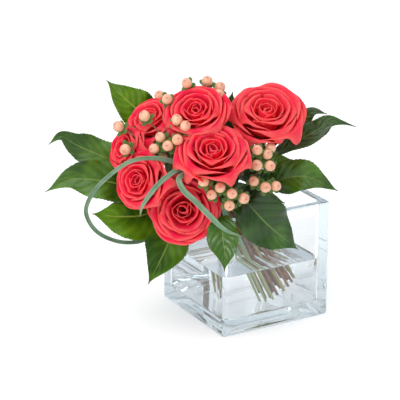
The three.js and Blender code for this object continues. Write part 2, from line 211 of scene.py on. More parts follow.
# A value carried from one range to another with an S-shaped rise.
def rise(tree, value, low, high, start=0.0, end=1.0):
    return addNode(tree, "MapRange", {"Value": value, "From Min": low, "From Max": high,
                                      "To Min": start, "To Max": end},
                   interpolation_type="SMOOTHSTEP").outputs["Result"]


def mixColours(tree, share, a, b):
    node = addNode(tree, "Mix", data_type="RGBA")
    colourSockets = [s for s in node.inputs if s.type == "RGBA"]
    for socket, value in zip([node.inputs[0], *colourSockets], (share, a, b)):
        if isinstance(value, bpy.types.NodeSocket):
            tree.links.new(value, socket)
        else:
            socket.default_value = value if socket is node.inputs[0] else (*value, 1)
    return [s for s in node.outputs if s.type == "RGBA"][0]


def noise(tree, scale, detail=4):
    source = addNode(tree, "TexCoord").outputs["Object"]
    return addNode(tree, "TexNoise", {"Vector": source, "Scale": scale, "Detail": detail,
                                      "Roughness": 0.55}).outputs["Fac"]


# An empty material with its surface shader; the caller links colour, roughness and bump.
def newFinish(name, **shader):
    material = bpy.data.materials.new(name)
    material.use_nodes = True
    tree = material.node_tree
    surface = tree.nodes.get("Principled BSDF") or addNode(tree, "BsdfPrincipled")
    for key, value in shader.items():
        surface.inputs[key.replace("_", " ")].default_value = value
    return material, tree, surface


def addBump(tree, surface, height, strength, distance):
    bump = addNode(tree, "Bump", {"Height": height, "Strength": strength, "Distance": distance})
    tree.links.new(bump.outputs["Normal"], surface.inputs["Normal"])


# Where a point is on its skin: across from -1 to 1, along from 0 at the foot to 1 at the tip,
# and the tone the skin was given.
def growthPlace(tree):
    split = addNode(tree, "SeparateXYZ", {0: addNode(tree, "UVMap", uv_map="growth").outputs[0]})
    across = maths(tree, "MULTIPLY_ADD", split.outputs[0], 2.0)
    across.node.inputs[2].default_value = -1.0
    tone = addNode(tree, "Attribute", attribute_name="tone").outputs["Fac"]
    return across, split.outputs[1], tone


# the rim colour is partly the petals' own paler edge and partly a painted highlight on the rolled rims
petalColours = {
    "deep": (0.97, 0.002, 0.050), "middle": (0.87, 0.014, 0.056), "rim": (0.98, 0.125, 0.118),
    "heart": (0.80, 0.002, 0.070), "foot": (0.90, 0.30, 0.12),
}


# Petals: crimson low down and in the heart, coral above, pale along the rim, with fine veins that
# fan out from the foot and faint blotches. The pale rim is partly the petal's own paler edge and partly
# a painted highlight on the rolled rims. Paleness is the share of the rim's colour everywhere.
def petalFinish(name, paleness):
    material, tree, surface = newFinish(name, Roughness=0.5, IOR=1.35, Specular_IOR_Level=0.08)
    across, along, tone = growthPlace(tree)
    body = mixColours(tree, rise(tree, along, 0.25, 0.8), petalColours["deep"], petalColours["middle"])
    body = mixColours(tree, rise(tree, tone, 0.42, 0.05, 0.0, 0.75), body, petalColours["heart"])
    # the rim band: partly the petal's own paler edge, partly a painted highlight where the rolled rims
    # catch the light
    body = mixColours(tree, rise(tree, along, 0.80, 1.0, 0.0, 0.9), body, petalColours["rim"])
    body = mixColours(tree, rise(tree, along, 0.13, 0.0, 0.0, 0.8), body, petalColours["foot"])
    blotch = noise(tree, 130, 3)
    pale = rise(tree, blotch, 0.35, 0.75, paleness, paleness + 0.22)
    body = mixColours(tree, pale, body, petalColours["rim"])
    fan = maths(tree, "MULTIPLY", across, 34.0)
    veins = maths(tree, "SINE", maths(tree, "ADD", fan, maths(tree, "MULTIPLY", blotch, 5.0)))
    body = mixColours(tree, rise(tree, veins, 0.4, 1.0, 0.0, 0.08), body, petalColours["deep"])
    tree.links.new(body, surface.inputs["Base Color"])
    tree.links.new(rise(tree, blotch, 0.3, 0.7, 0.46, 0.62), surface.inputs["Roughness"])
    surface.inputs["Subsurface Weight"].default_value = 0.35
    surface.inputs["Subsurface Radius"].default_value = (0.009, 0.0005, 0.0008)
    surface.inputs["Subsurface Scale"].default_value = 1.0
    surface.inputs["Sheen Weight"].default_value = 0.03
    surface.inputs["Sheen Roughness"].default_value = 0.4
    surface.inputs["Sheen Tint"].default_value = (1.0, 0.25, 0.25, 1)
    fine = maths(tree, "ADD", maths(tree, "MULTIPLY", veins, 0.5), noise(tree, 900, 3))
    addBump(tree, surface, fine, 0.25, 0.0006)
    return material


# Leaf blades: a pale midrib, side veins that leave it at a slant, darker between them, and a waxy
# gloss. Tone 0 gives the darkest leaf and 1 the yellowest. Waxy leaves shine more than tender ones.
def leafFinish(name, gloss, coat):
    material, tree, surface = newFinish(name, Roughness=0.3, IOR=1.42, Specular_IOR_Level=gloss)
    across, along, tone = growthPlace(tree)
    off = maths(tree, "ABSOLUTE", across)
    patches = noise(tree, 60, 4)
    broad = rise(tree, noise(tree, 26, 2), 0.40, 0.62)
    cloudy = maths(tree, "MULTIPLY", rise(tree, patches, 0.3, 0.7, 0.55, 1.0),
                   rise(tree, broad, 0.0, 1.0, 0.25, 1.0))
    dark = mixColours(tree, cloudy, (0.003, 0.018, 0.001), (0.050, 0.165, 0.012))
    bright = mixColours(tree, cloudy, (0.014, 0.065, 0.0005), (0.125, 0.235, 0.002))
    blade = mixColours(tree, tone, dark, bright)
    slant = maths(tree, "MULTIPLY_ADD", along, 10.0)
    tree.links.new(maths(tree, "MULTIPLY", maths(tree, "POWER", off, 1.25), -2.1), slant.node.inputs[2])
    # 0 on a side vein and 0.5 halfway between two
    turn = maths(tree, "FRACT", maths(tree, "ADD", slant, 20.0))
    nearness = maths(tree, "ABSOLUTE", maths(tree, "SUBTRACT", turn, 0.5))
    sideVein = rise(tree, nearness, 0.05, 0.0, 0.0, 0.26)
    blade = mixColours(tree, rise(tree, nearness, 0.5, 0.0, 0.22, 0.0), blade, (0.006, 0.03, 0.006))
    veinColour = mixColours(tree, tone, (0.085, 0.165, 0.035), (0.30, 0.38, 0.05))
    blade = mixColours(tree, sideVein, blade, veinColour)
    midrib = rise(tree, off, 0.055, 0.015, 0.0, 0.9)
    blade = mixColours(tree, midrib, blade, veinColour)
    # painted shade: the foot of the blade is darker than its tip, as if shaded by the flowers and berries
    # above it
    blade = mixColours(tree, rise(tree, along, 0.5, 0.2, 0.0, 0.45), blade, (0.002, 0.012, 0.001))
    tree.links.new(blade, surface.inputs["Base Color"])
    tree.links.new(rise(tree, patches, 0.25, 0.75, 0.20, 0.42), surface.inputs["Roughness"])
    surface.inputs["Subsurface Weight"].default_value = 0.08
    surface.inputs["Subsurface Radius"].default_value = (0.001, 0.002, 0.0004)
    surface.inputs["Subsurface Scale"].default_value = 1.0
    surface.inputs["Coat Weight"].default_value = coat
    surface.inputs["Coat Roughness"].default_value = 0.2
    grain = maths(tree, "ADD", nearness, maths(tree, "MULTIPLY", noise(tree, 700, 3), 0.5))
    addBump(tree, surface, maths(tree, "SUBTRACT", grain, midrib), 0.35, 0.0007)
    return material


# Grass: glaucous green with fine pale lines along the blade.
def grassFinish():
    material, tree, surface = newFinish("lilyGrass", Roughness=0.4, IOR=1.45)
    across, along, _ = growthPlace(tree)
    lines = maths(tree, "SINE", maths(tree, "MULTIPLY", across, 21.0))
    cloud = rise(tree, noise(tree, 55, 3), 0.3, 0.7)
    keel = rise(tree, maths(tree, "ABSOLUTE", across), 0.12, 0.0, 0.0, 0.7)
    blade = mixColours(tree, cloud, (0.100, 0.210, 0.120), (0.22, 0.37, 0.25))
    blade = mixColours(tree, rise(tree, lines, 0.1, 1.0, 0.0, 0.45), blade, (0.33, 0.46, 0.30))
    blade = mixColours(tree, keel, blade, (0.04, 0.12, 0.035))
    blade = mixColours(tree, rise(tree, along, 0.93, 1.0, 0.0, 0.6), blade, (0.20, 0.22, 0.06))
    blade = mixColours(tree, rise(tree, along, 0.28, 0.1, 0.0, 0.85), blade, (0.48, 0.50, 0.24))
    tree.links.new(blade, surface.inputs["Base Color"])
    tree.links.new(rise(tree, lines, -1.0, 1.0, 0.34, 0.5), surface.inputs["Roughness"])
    surface.inputs["Subsurface Weight"].default_value = 0.08
    surface.inputs["Subsurface Radius"].default_value = (0.001, 0.002, 0.0005)
    surface.inputs["Subsurface Scale"].default_value = 1.0
    addBump(tree, surface, lines, 0.3, 0.0003)
    return material


# Stems and sepals: two colours in clouds and in streaks along the length, with freckles.
def stemFinish(name, first, second, freckle, roughness=0.45, streaks=13.0):
    material, tree, surface = newFinish(name, Roughness=roughness, IOR=1.4)
    across, _, _ = growthPlace(tree)
    cloud = noise(tree, 170, 4)
    streak = maths(tree, "SINE", maths(tree, "MULTIPLY_ADD", across, streaks))
    tree.links.new(maths(tree, "MULTIPLY", cloud, 6.0), streak.node.inputs[0].links[0].from_node.inputs[2])
    skinColour = mixColours(tree, rise(tree, cloud, 0.35, 0.68), first, second)
    skinColour = mixColours(tree, rise(tree, streak, 0.0, 1.0, 0.0, 0.35), skinColour, second)
    freckles = rise(tree, noise(tree, 800, 2), 0.60, 0.72, 0.0, 0.7)
    skinColour = mixColours(tree, freckles, skinColour, freckle)
    tree.links.new(skinColour, surface.inputs["Base Color"])
    tree.links.new(rise(tree, cloud, 0.3, 0.7, roughness - 0.08, roughness + 0.12),
                   surface.inputs["Roughness"])
    surface.inputs["Subsurface Weight"].default_value = 0.06
    surface.inputs["Subsurface Radius"].default_value = (0.001, 0.0015, 0.0005)
    surface.inputs["Subsurface Scale"].default_value = 1.0
    addBump(tree, surface, maths(tree, "ADD", streak, noise(tree, 500, 3)), 0.25, 0.0005)
    return material


# Berries: peach, greener at the foot and pink round the brown tip, with a waxy shine.
def berryFinish():
    material, tree, surface = newFinish("peachBerry", Roughness=0.32, IOR=1.45)
    _, along, _ = growthPlace(tree)
    cloud = noise(tree, 220, 3)
    flesh = mixColours(tree, rise(tree, cloud, 0.3, 0.7), (0.70, 0.37, 0.22), (0.80, 0.50, 0.33))
    flesh = mixColours(tree, rise(tree, along, 0.35, 0.05, 0.0, 0.55), flesh, (0.62, 0.52, 0.22))
    flesh = mixColours(tree, rise(tree, along, 0.62, 0.9, 0.0, 0.55), flesh, (0.68, 0.22, 0.17))
    flesh = mixColours(tree, rise(tree, along, 0.90, 0.96, 0.0, 0.95), flesh, (0.22, 0.055, 0.035))
    dots = rise(tree, noise(tree, 1500, 2), 0.64, 0.72, 0.0, 0.25)
    flesh = mixColours(tree, dots, flesh, (0.95, 0.72, 0.55))
    tree.links.new(flesh, surface.inputs["Base Color"])
    tree.links.new(rise(tree, cloud, 0.3, 0.7, 0.26, 0.42), surface.inputs["Roughness"])
    surface.inputs["Subsurface Weight"].default_value = 0.2
    surface.inputs["Subsurface Radius"].default_value = (0.003, 0.0012, 0.0006)
    surface.inputs["Subsurface Scale"].default_value = 1.0
    surface.inputs["Coat Weight"].default_value = 0.55
    surface.inputs["Coat Roughness"].default_value = 0.15
    addBump(tree, surface, noise(tree, 600, 3), 0.12, 0.0004)
    return material


# Clear soda glass or water with a faint cool tint, barely wavy. Lamps and soft light reach what
# stands in it; shade is how many times that light takes up the tint.
def clearFinish(name, tint, index, wave, smudge, depthColour, depth, shade):
    material, tree, surface = newFinish(name, Roughness=0.0, IOR=index)
    surface.inputs["Transmission Weight"].default_value = 1.0
    cloud = noise(tree, 9, 2)
    tree.links.new(mixColours(tree, rise(tree, cloud, 0.3, 0.7), tint, tuple(c ** 0.6 for c in tint)),
                   surface.inputs["Base Color"])
    tree.links.new(rise(tree, noise(tree, 40, 3), 0.55, 0.9, 0.0, smudge), surface.inputs["Roughness"])
    addBump(tree, surface, noise(tree, wave, 2), 0.12, 0.001)
    path = addNode(tree, "LightPath")
    through = addNode(tree, "BsdfTransparent", {"Color": (*(c ** shade for c in tint), 1)})
    passing = maths(tree, "MAXIMUM", path.outputs["Is Shadow Ray"], path.outputs["Is Diffuse Ray"])
    mixed = addNode(tree, "MixShader", {0: passing, 1: surface.outputs[0], 2: through.outputs[0]})
    output = [n for n in tree.nodes if n.type == "OUTPUT_MATERIAL"][0]
    tree.links.new(mixed.outputs[0], output.inputs["Surface"])
    body = addNode(tree, "VolumeAbsorption", {"Color": (*depthColour, 1), "Density": depth})
    tree.links.new(body.outputs[0], output.inputs["Volume"])
    return material


print("finishes ready")


vaseShape = {
    "wall": 6.2, "floor": 11.0, "outerRound": 3.0, "innerRound": 7.0, "rimRound": 1.5,
    "floorRound": 3.0, "cornerSteps": 7, "meniscus": 0.9, "footRing": 9.0, "footHollow": 0.7, "bite": 0.05,
}


# Rings of a rounded square: four arcs of a corner radius, joined by straight sides that have five
# extra points, the outer two close to the arcs, so that the flats stay flat when shaded.
def squareRings(halfSides, rounds, heights, steps):
    turn = np.linspace(0, np.pi / 2, steps)
    corners = []
    for k in range(4):
        a = turn + k * np.pi / 2
        signs = np.array([(1, 1), (-1, 1), (-1, -1), (1, -1)][k])
        corners.append((signs, np.stack([np.cos(a), np.sin(a)], -1)))
    rings = []
    for half, corner, z in zip(halfSides, rounds, heights):
        arcs = [(half - corner) * signs + corner * arc for signs, arc in corners]
        loop = []
        for arc, following in zip(arcs, arcs[1:] + arcs[:1]):
            gapStart, gapEnd = arc[-1], following[0]
            shares = np.array([0.02, 0.25, 0.5, 0.75, 0.98])[:, None]
            loop += [arc, gapStart + shares * (gapEnd - gapStart)]
        loop = np.vstack(loop)
        rings.append(np.column_stack([loop, np.full(len(loop), z)]))
    return np.array(rings)


# The vase is one skin: out over the base, up the outer wall, over the rim, down the inner wall and
# in over the inner floor. Each rounding is a quarter circle of the profile.
def buildVase(material):
    low, high = [np.array(c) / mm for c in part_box("vase")]
    half, top = (high[0] - low[0]) / 2, high[2]
    s = vaseShape
    a = np.linspace(0, np.pi / 2, 6)
    r = s["rimRound"]
    inner = half - s["wall"]
    floorRound = s["floorRound"]
    foot = half - s["footRing"]
    profile = [(t * foot, s["outerRound"] * t, s["footHollow"]) for t in (0.05, 0.5, 0.97)]
    profile += [(foot + 0.5, s["outerRound"], 0.15), (foot + 1, s["outerRound"], 0)]
    profile += [(half - r - 0.5, s["outerRound"], 0)]
    profile += [(half - r + r * np.sin(t), s["outerRound"], r - r * np.cos(t)) for t in a]
    profile += [(half, s["outerRound"], z) for z in (r + 1, top / 2, top - r - 1)]
    profile += [(half - r + r * np.cos(t), s["outerRound"], top - r + r * np.sin(t)) for t in a]
    profile += [(inner + r - r * np.sin(t), s["innerRound"], top - r + r * np.cos(t)) for t in a]
    profile += [(inner, s["innerRound"], z) for z in (top - r - 1, top / 2, s["floor"] + floorRound + 1)]
    profile += [(inner - floorRound + floorRound * np.cos(t), s["innerRound"],
                 s["floor"] + floorRound - floorRound * np.sin(t)) for t in a]
    profile += [((inner - floorRound) * t, s["innerRound"] * t, s["floor"]) for t in (0.97, 0.5, 0.05)]
    halfSides, rounds, heights = np.array(profile).T
    rings = squareRings(halfSides, rounds, heights, s["cornerSteps"])
    poles = [(0, 0, s["footHollow"]), (0, 0, s["floor"])]
    return makePiece("glassVase", [tubeSkin(rings, poles=poles)], [material], ["vase"])


# The water fills the vase up to its level and climbs a little where it meets the glass. It runs a
# hair into the glass, so that no film of air is left between the two.
def buildWater(material):
    low, high = [np.array(c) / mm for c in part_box("water")]
    s = vaseShape
    level = high[2] - 0.5
    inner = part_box("vase")[1][0] / mm - s["wall"] + s["bite"]
    floorRound = s["floorRound"]
    bottom = s["floor"] - s["bite"]
    a = np.linspace(0, np.pi / 2, 6)
    profile = [(t * (inner - floorRound), s["innerRound"] * t, bottom) for t in (0.05, 0.5, 0.97)]
    profile += [(inner - floorRound + floorRound * np.sin(t), s["innerRound"],
                 bottom + floorRound - floorRound * np.cos(t)) for t in a]
    side = (s["floor"] + 8, level - 4, level + s["meniscus"] - 0.3)
    profile += [(inner, s["innerRound"], z) for z in side]
    drop = np.array([0.0, 0.25, 0.6, 1.1, 1.8, 2.8, 4.0])
    profile += [(inner - d, s["innerRound"] - min(d, 2.5),
                 level + s["meniscus"] * np.exp(-d / 0.9)) for d in drop]
    profile += [(t * (inner - 4), 4.0 * t, level) for t in (0.93, 0.5, 0.05)]
    halfSides, rounds, heights = np.array(profile).T
    rings = squareRings(halfSides, rounds, heights, s["cornerSteps"])
    poles = [(0, 0, bottom), (0, 0, level)]
    return makePiece("stillWater", [tubeSkin(rings, poles=poles)], [material], ["water"])


sheaf = {
    "waist": np.array((-24.0, -8.0, 98.0)), "foot": np.array((20.0, -2.0, 21.0)),
    "neck": 8.0, "neckSpread": 1.1, "footSpread": 1.55,
    "roseRing": 6.1, "outerRing": 11.0, "grassRing": 13.8,
}
sheafAxis = unit(sheaf["waist"] - sheaf["foot"])
sheafRight = unit(np.cross((0, 1, 0), sheafAxis))
sheafBack = np.cross(sheafAxis, sheafRight)
frontward = np.array((-0.47, -0.82, 0.33))


# The point of the sheaf at an angle and distance from its middle.
def sheafPoint(centre, ring, angle, spread):
    a = np.radians(angle)
    return centre + spread * ring * (np.cos(a) * sheafRight + np.sin(a) * sheafBack)


# The lower part of a stem: its cut end, its way through the water, the crossing at the sheaf's
# waist, and the neck just above it.
def stemFootPoints(ring, angle):
    end = sheafPoint(sheaf["foot"], ring, angle, sheaf["footSpread"])
    crossing = sheafPoint(sheaf["waist"], ring, angle, 1)
    neck = sheafPoint(sheaf["waist"] + sheafAxis * sheaf["neck"], ring, angle, sheaf["neckSpread"])
    return [end, (end + crossing) / 2, crossing, neck]


# A stem along points: its radius swells at the nodes, and its foot is cut off at a slant.
def stemSkin(points, radius, rows, sides, nodes=(), taper=0.0, slant=0.5, wobble=0.0, seed=0):
    shares = np.linspace(0, 1, rows)
    line = smoothLine(points, shares)
    rng = np.random.default_rng(seed)
    phase = rng.uniform(0, 2 * np.pi, (3, 3))
    drift = sum(np.sin(shares[:, None] * (9 + 7 * k) + phase[k]) / (k + 1.5) for k in range(3))
    line = line + wobble * drift * (np.sin(np.pi * shares) ** 0.5)[:, None]
    radii = radius * (1 - taper * shares)
    for place in nodes:
        radii = radii * (1 + 0.22 * np.exp(-((shares - place) * rows / 1.6) ** 2))
    rings = roundRings(line, radii, sides)
    lean = (rings[0] - line[0]) @ np.array((0, 0, 1.0))
    rings[0] = rings[0] - slant * lean[:, None] * directions(line)[0]
    return tubeSkin(rings), line, radii


# A thorn: a curved cone that leans down the stem.
def thornSkin(line, row, radius, angle, length):
    along = directions(line)[row]
    side, other, along = axesOf(along)
    out = np.cos(angle) * side + np.sin(angle) * other
    start = line[row] + out * radius * 0.7
    points = [start, start + out * length * 0.55 - along * length * 0.1,
              start + out * length - along * length * 0.5]
    spine = smoothLine(points, np.linspace(0, 1, 5))
    radii = length * np.array([0.42, 0.25, 0.15, 0.08, 0.02])
    return tubeSkin(roundRings(spine, radii, 8))


# at is the middle of the widest ring of petals, faces the way the flower looks, angle the stem's
# place round the sheaf.
roses = {
    "front": {"at": (-62, -54, 157), "faces": (-0.29, -0.52, 0.80),
        "radius": 31, "angle": 270, "petals": 21},
    "right": {"at": (-1.5, -33, 173.5), "faces": (-0.22, -0.50, 0.84),
        "radius": 32.5, "angle": 330, "petals": 21, "pale": True},
    "low": {"at": (-76, -34, 108), "faces": (-0.49, -0.83, 0.27),
        "radius": 29.8, "angle": 210, "petals": 21},
    "top": {"at": (-61, -28, 182), "faces": (-0.45, -0.44, 0.78),
        "radius": 27.8, "angle": 0, "petals": 20},
    "left": {"at": (-107, -22, 133), "faces": (-0.87, -0.34, 0.36),
        "radius": 25.5, "angle": 150, "petals": 18},
    "upper_left": {"at": (-84, 2, 172), "faces": (-0.60, -0.20, 0.77),
        "radius": 23.6, "angle": 30, "petals": 18},
    "far_left": {"at": (-104, 5, 151), "faces": (-0.90, -0.05, 0.43),
        "radius": 21.6, "angle": 90, "petals": 17},
}

# The side view of a petal from its foot to its rim, as the six handles of one smooth arc, for five
# petals from the heart (0) out to the rim of the flower (1); in flower radii.
petalArcs = {
    "place": (0.0, 0.25, 0.5, 0.75, 1.0),
    "reach": ((0.02, 0.06, 0.11, 0.12, 0.09, 0.03),
              (0.04, 0.15, 0.26, 0.26, 0.22, 0.26),
              (0.06, 0.26, 0.44, 0.45, 0.44, 0.60),
              (0.08, 0.30, 0.54, 0.66, 0.72, 0.87),
              (0.10, 0.32, 0.58, 0.78, 0.92, 1.02)),
    "height": ((-0.55, -0.20, 0.00, 0.12, 0.20, 0.22),
               (-0.60, -0.32, -0.04, 0.16, 0.34, 0.30),
               (-0.66, -0.46, -0.16, 0.18, 0.46, 0.22),
               (-0.70, -0.58, -0.32, 0.05, 0.44, 0.08),
               (-0.74, -0.68, -0.46, -0.10, 0.34, -0.14)),
}
petalShape = {
    "thickness": 0.45, "heartWrap": 125, "rimWrap": 56, "rounding": 0.30, "point": 0.21,
    "pointWidth": 0.16, "overrun": 1.12, "flatness": 0.35, "curl": 0.06, "ruffle": 0.016, "jitter": 20,
    "reachDrift": 0.022, "heightDrift": 0.035, "along": 24, "across": 29, "spiral": 137.5,
}
calyxReach = 0.74    # from the widest ring back to the hip, in radii of the plain bloom
calyxLength = 7.0
plainShare = 0.88    # the radius of the plain bloom is this share of the detailed one's


# Bernstein weights: the arc from six handles is the sum of each handle times its weight.
def arcWeights(t):
    t = t[..., None]
    k = np.arange(6)
    choose = np.array((1, 5, 10, 10, 5, 1))
    return choose * t ** k * (1 - t) ** (5 - k)


# A petal: across (-1 to 1) turns round the flower's axis over the petal's wrap, along (0 to 1)
# follows the petal's arc. The rim is rounded by stopping the arc earlier towards the sides, the
# middle of the rim runs on to a soft point, and the side edges roll outwards and down.
def petalSkin(centre, frameAxes, radius, place, angle, rng):
    p = petalShape
    u, v = np.meshgrid(np.linspace(-1, 1, p["across"]), np.linspace(0, 1, p["along"]))
    stop = 1 - (p["rounding"] - 0.12 * (1 - place)) * np.abs(u) ** (2.3 - 0.9 * place)
    stop = stop + p["point"] * place * np.exp(-(u / p["pointWidth"]) ** 2) * rng.uniform(0.3, 1.2)
    t = np.clip(v * stop, 0, p["overrun"])
    handles = [np.array([np.interp(place, petalArcs["place"], column)
                         for column in np.array(petalArcs[key]).T]) for key in ("reach", "height")]
    handles[1][4:] += rng.normal(0, p["heightDrift"], 2) * (0.4 + place)
    handles[0][4:] += rng.normal(0, p["reachDrift"], 2) * (0.2 + place)
    weights = arcWeights(t)
    reach, height = weights @ handles[0], weights @ handles[1]
    wrap = np.radians(p["heartWrap"] + (p["rimWrap"] - p["heartWrap"]) * place ** 0.6)
    wrap = wrap * rng.uniform(0.92, 1.08)
    upper = ease((v - 0.45) / 0.55)
    side = np.abs(u) ** 3
    flat = p["flatness"] * (1 / np.cos(0.62 * wrap * u) - 1) * upper * (1.1 - place)
    reach = reach * (1 + 0.05 * u * (1.2 - place) + flat) + p["curl"] * place * side * upper
    height = height - 1.15 * p["curl"] * place * side * upper
    waves = rng.uniform(0, 2 * np.pi, 3)
    ruffle = np.sin(5 * u + waves[0]) + 0.6 * np.sin(9 * u + waves[1]) + 0.4 * np.sin(14 * u + waves[2])
    height = height + p["ruffle"] * ruffle * v ** 3 * (0.3 + place)
    reach = reach + 0.6 * p["ruffle"] * np.sin(7 * u + waves[1]) * v ** 2
    dent = rng.normal(0, 0.02) * np.sin(np.pi * v) * np.cos(np.pi * (u + rng.uniform(-0.4, 0.4)))
    reach = reach + dent * place
    a = np.radians(angle) + wrap * u
    sideways, upwards, axis = frameAxes
    outward = np.cos(a)[..., None] * sideways + np.sin(a)[..., None] * upwards
    grid = centre + radius * (reach[..., None] * outward + height[..., None] * axis)
    tone = np.clip(place + rng.normal(0, 0.05), 0, 1)
    uv = np.stack([(u + 1) / 2, v], -1)
    return skin(grid, p["thickness"], uv, tone)


# A bloom: petals from the heart outwards, each turned on from the last by the golden angle.
def buildBloom(name, rose, material, seed):
    rng = np.random.default_rng(seed)
    frameAxes = axesOf(rose["faces"])
    count = rose["petals"]
    start = rng.uniform(0, 360)
    skins = []
    for k in range(count):
        place = np.clip((k + rng.uniform(-0.35, 0.35)) / (count - 1), 0, 1) ** 0.92
        angle = start + k * petalShape["spiral"] + rng.uniform(-1, 1) * petalShape["jitter"]
        skins.append(petalSkin(np.array(rose["at"], float), frameAxes, rose["radius"], place, angle, rng))
    return makePiece("bloom_" + name, skins, [material], ["rose_bloom_" + name])


sepalShape = {"along": 12, "across": 7, "start": 3.2, "halfWidth": 3.1, "fold": 0.25, "thickness": 0.6,
              "rise": 5.9, "lift": 3.2, "shares": (0.52, 0.66)}


# A sepal: a narrow leaf that springs from the hip, hugs the flower's foot and bends back at its tip.
def sepalSkin(base, frameAxes, angle, length, lift, rng):
    p = sepalShape
    sideways, upwards, axis = frameAxes
    a = np.radians(angle)
    out = np.cos(a) * sideways + np.sin(a) * upwards
    around = np.cross(axis, out)
    s = np.linspace(0, 1, p["along"])[:, None]
    w = np.linspace(-1, 1, p["across"])[None]
    reach = p["start"] + length * (s * 0.98 - 0.05 * s ** 3)
    height = lift * np.sin(s * 2.2) - 0.2 * length * s ** 3 * rng.uniform(0.4, 1.4)
    half = p["halfWidth"] * np.sin(np.pi * (0.16 + 0.84 * s)) ** 0.8 * (1 - 0.35 * s) + 0.15
    fold = p["fold"] * np.abs(w) * half
    grid = (base + (reach + 0 * w)[..., None] * out + (half * w)[..., None] * around
            + (height + fold)[..., None] * axis)
    uv = np.stack([np.broadcast_to((w + 1) / 2, grid.shape[:2]), np.broadcast_to(s, grid.shape[:2])], -1)
    return skin(grid, p["thickness"], uv, 0.2)


# The hip is a turned cup under the petals, with five sepals round its mouth.
def buildCalyx(name, rose, material, seed):
    rng = np.random.default_rng(seed)
    frameAxes = axesOf(rose["faces"])
    axis = frameAxes[2]
    plainRadius = rose["radius"] * plainShare
    base = np.array(rose["at"], float) - axis * (calyxReach * plainRadius + calyxLength)
    profile = [(0, -0.4), (2.4, -0.4), (3.3, 0.6), (4.2, 2.0), (4.6, 3.4),
               (4.5, 4.8), (3.9, 5.8), (3.9, 6.6), (4.6, 7.4), (0, 7.6)]
    ribs = lambda a: 1 + 0.02 * np.cos(5 * a)
    skins = [turned(base, axis, profile, 30, lobes=ribs)]
    start = rng.uniform(0, 72)
    for k in range(5):
        skins.append(sepalSkin(base + axis * sepalShape["rise"], frameAxes,
                               start + 72 * k + rng.uniform(-8, 8),
                               plainRadius * rng.uniform(*sepalShape["shares"]), sepalShape["lift"], rng))
    return makePiece("calyx_" + name, skins, [material], ["rose_calyx_" + name])


roseStemShape = {"radius": 2.3, "rows": 64, "sides": 16, "wobble": 0.12, "straightNeck": 10, "thorns": 4}


# A rose's stem runs up from its cut end and meets the hip squarely. Its nodes and thorns are drawn
# at random along it.
def buildRoseStem(name, rose, material, seed):
    p = roseStemShape
    axis = unit(rose["faces"])
    plainRadius = rose["radius"] * plainShare
    top = np.array(rose["at"], float) - axis * (calyxReach * plainRadius + calyxLength - 0.2)
    ring = 0 if name == "top" else sheaf["roseRing"]
    points = [*stemFootPoints(ring, rose["angle"]), top - p["straightNeck"] * axis, top]
    rng = np.random.default_rng(seed)
    nodes = np.sort(rng.uniform(0.08, 0.8, 3))
    stem, line, radii = stemSkin(points, p["radius"], p["rows"], p["sides"], nodes, seed=seed,
                                 wobble=p["wobble"])
    skins = [stem]
    for k in range(p["thorns"]):
        row = int(rng.uniform(4, 50))
        skins.append(thornSkin(line, row, radii[row], rng.uniform(0, 2 * np.pi), rng.uniform(2.2, 3.4)))
    return makePiece("roseStem_" + name, skins, [material], ["rose_stem_" + name])


leafStems = {
    "top_left": {"angle": 105, "way": [(-48, 14, 132), (-60, 28, 150)]},
    "left": {"angle": 150, "way": [(-58, 8, 112), (-84, 12, 124)]},
    "front": {"angle": 222, "way": [(-41, -26, 105), (-46, -38, 106)]},
    "right_front": {"angle": 267, "way": [(-24, -26, 108), (-26, -38, 116)]},
    "right": {"angle": 322, "way": [(-6, -22, 112), (2, -26, 120)]},
    "upper_right": {"angle": 10, "way": [(4, -10, 122), (20, -12, 140)]},
    "back": {"angle": 52, "way": [(-16, 12, 128), (-18, 14, 156)]},
}


def leafStemPoints(name):
    stem = leafStems[name]
    return [*stemFootPoints(sheaf["outerRing"], stem["angle"]), *[np.array(p, float) for p in stem["way"]]]


leafStemShape = {"radius": 1.3, "rows": 56, "sides": 12, "nodes": (0.72, 0.86, 0.95), "taper": 0.15,
                 "wobble": 0.15}


def buildLeafStem(name, material, seed):
    p = leafStemShape
    stem, _, _ = stemSkin(leafStemPoints(name), p["radius"], p["rows"], p["sides"], p["nodes"],
                          taper=p["taper"], seed=seed, wobble=p["wobble"])
    return makePiece("leafStem_" + name, [stem], [material], ["leaf_stem_" + name])


